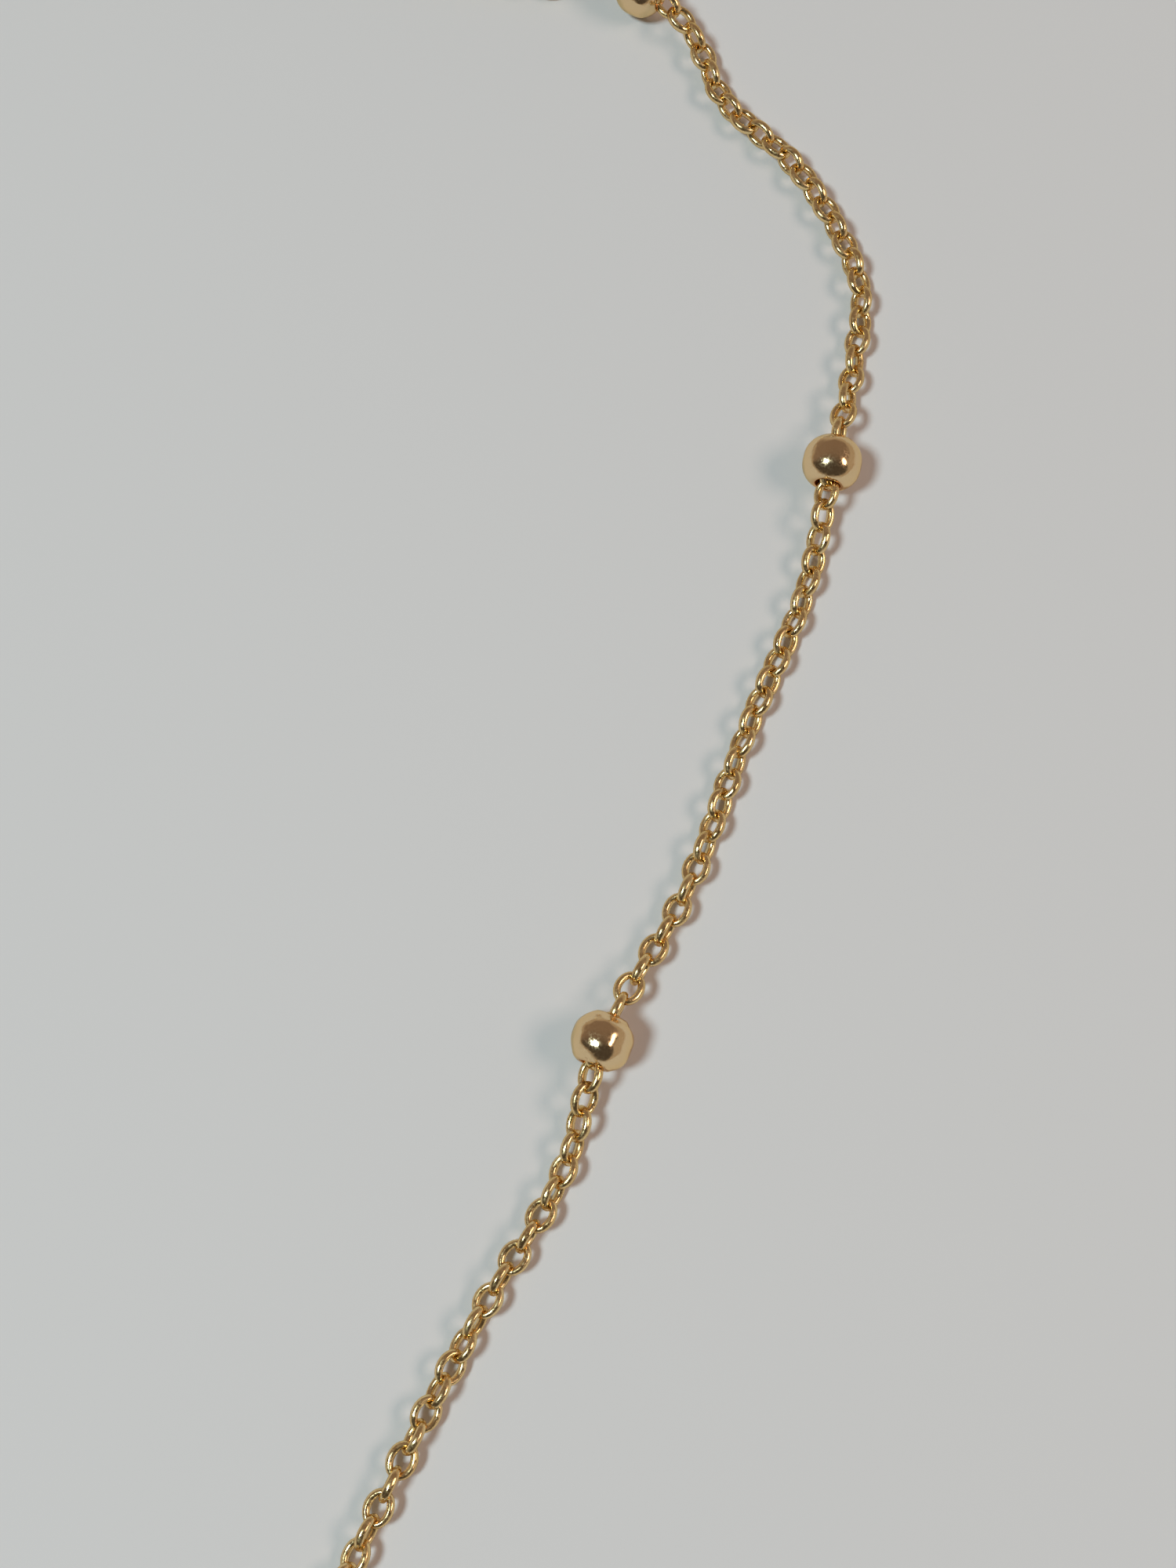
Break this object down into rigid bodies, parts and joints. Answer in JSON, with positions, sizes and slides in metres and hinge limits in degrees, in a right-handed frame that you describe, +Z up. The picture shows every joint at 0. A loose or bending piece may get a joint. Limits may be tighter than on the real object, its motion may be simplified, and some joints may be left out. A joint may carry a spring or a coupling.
{
  "type": "sautoir necklace",
  "caption": "Long fine cable-chain necklace with polished drilled round beads spaced evenly along it and a plain ring clasp, lying in one open loop.",
  "frame": {"origin": "middle of the bottom of the box round the lying loop, on the surface that it rests on", "axes": "+Z up from the surface, +X along the loop's longest extent, towards its tight bend"},
  "size_m": [0.2716, 0.2414, 0.003],
  "materials": {
    "beads": "polished gold plate",
    "chain": "bright gold plate",
    "clasp": "polished gold plate",
    "end_ring": "bright gold plate"
  },
  "bodies": {
    "root": {"chain": "chain", "clasp": "clasp", "end_ring": "end_ring", "bead_01": "beads", "bead_02": "beads", "bead_03": "beads", "bead_04": "beads", "bead_05": "beads", "bead_06": "beads", "bead_07": "beads", "bead_08": "beads", "bead_09": "beads", "bead_10": "beads", "bead_11": "beads", "bead_12": "beads", "bead_13": "beads", "bead_14": "beads", "bead_15": "beads", "bead_16": "beads", "bead_17": "beads", "bead_18": "beads", "bead_19": "beads", "bead_20": "beads", "bead_21": "beads", "bead_22": "beads", "bead_23": "beads", "bead_24": "beads"}
  },
  "joints": []
}
